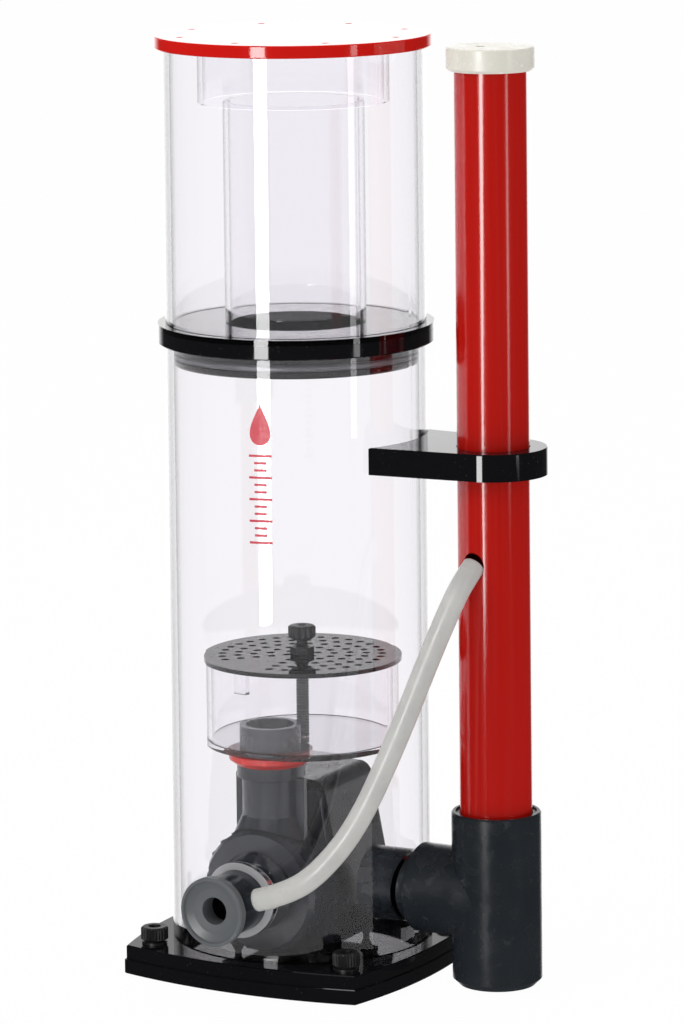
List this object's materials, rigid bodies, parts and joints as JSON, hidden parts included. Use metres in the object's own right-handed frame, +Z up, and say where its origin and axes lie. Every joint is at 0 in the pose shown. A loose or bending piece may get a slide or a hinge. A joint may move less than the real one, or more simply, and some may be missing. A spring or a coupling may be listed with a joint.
{
  "type": "protein skimmer",
  "caption": "In-sump protein skimmer: clear reaction tube on a bolted base, internal needle-wheel pump, bubble diffuser, lift-off collection cup and a turning red standpipe.",
  "frame": {"origin": "underside of the base plate, on the axis of the body tube", "axes": "+Z up along the body tube, +X towards the outlet tee and standpipe, -Y towards the pump's intake"},
  "size_m": [0.2355, 0.1855, 0.524],
  "materials": {
    "black_acrylic": "polished cast acrylic",
    "clear_acrylic": "polished clear acrylic",
    "red_acrylic": "polished red acrylic",
    "red_pvc": "extruded gloss PVC",
    "grey_pvc": "satin moulded PVC",
    "grey_abs": "satin moulded ABS",
    "intake_grey": "soft satin",
    "motor_resin": "satin moulded shell",
    "white_silicone": "smooth soft",
    "clear_silicone": "translucent",
    "grey_silicone": "smooth soft",
    "black_rubber": "matt",
    "cream_plastic": "satin moulded",
    "black_nylon": "satin nylon",
    "red_abs": "satin moulded",
    "white_ceramic": "ground ceramic",
    "magnet": "coated ferrite"
  },
  "bodies": {
    "root": {"base_plate": "black_acrylic", "body_flange": "black_acrylic", "base_seal": "grey_silicone", "base_thumbscrews": "black_nylon", "body_tube": "clear_acrylic", "nozzle_grommet": "clear_silicone", "pipe_bracket": "black_acrylic", "outlet_tee": "grey_pvc", "tee_bushing": "grey_pvc", "outlet_stub": "grey_pvc", "air_hose": "white_silicone", "air_barb": "grey_abs", "diffuser_floor": "clear_acrylic", "diffuser_wall": "clear_acrylic", "bubble_plate": "black_acrylic", "plate_tab": "clear_acrylic", "plate_rod": "black_nylon", "plate_knob": "black_nylon", "plate_nuts": "black_nylon", "riser_pipe": "grey_pvc", "riser_collar": "red_abs", "pump_volute": "grey_abs", "volute_seal": "black_rubber", "volute_cover": "grey_abs", "locking_ring": "grey_abs", "intake_nozzle": "grey_abs", "intake_ring": "intake_grey", "motor_housing": "motor_resin", "motor_flange": "grey_abs", "pump_cradle": "motor_resin", "pump_feet": "black_rubber", "rotor_shaft": "white_ceramic", "rear_bushing": "black_rubber", "front_bushing": "black_rubber", "cable_gland": "black_rubber"},
    "cup": {"cup_flange": "black_acrylic", "cup_plug": "black_acrylic", "cup_o_ring": "grey_silicone", "cup_floor": "clear_acrylic", "cup_wall": "clear_acrylic", "neck_tube": "clear_acrylic"},
    "lid": {"lid_disc": "red_acrylic", "splash_ring": "clear_acrylic"},
    "standpipe": {"standpipe": "red_pvc"},
    "pipe_cap": {"standpipe_cap": "cream_plastic"},
    "rotor": {"needle_wheel": "intake_grey", "rotor_magnet": "magnet"}
  },
  "joints": [
    {"name": "cup_lift", "type": "slide", "parent": "root", "child": "cup", "axis": [0, 0, 1], "range_m": [0, 0.06]},
    {"name": "lid_lift", "type": "slide", "parent": "cup", "child": "lid", "axis": [0, 0, 1], "range_m": [0, 0.06]},
    {"name": "standpipe_turn", "type": "hinge", "parent": "root", "child": "standpipe", "pos_m": [0.123, 0, 0.3], "axis": [0, 0, 1], "range_deg": [-30, 30], "deforming": ["air_hose"]},
    {"name": "cap_lift", "type": "slide", "parent": "standpipe", "child": "pipe_cap", "axis": [0, 0, 1], "range_m": [0, 0.02]},
    {"name": "rotor_spin", "type": "hinge", "parent": "root", "child": "rotor", "pos_m": [0, -0.03, 0.05], "axis": [0, -1, 0], "continuous": true}
  ]
}
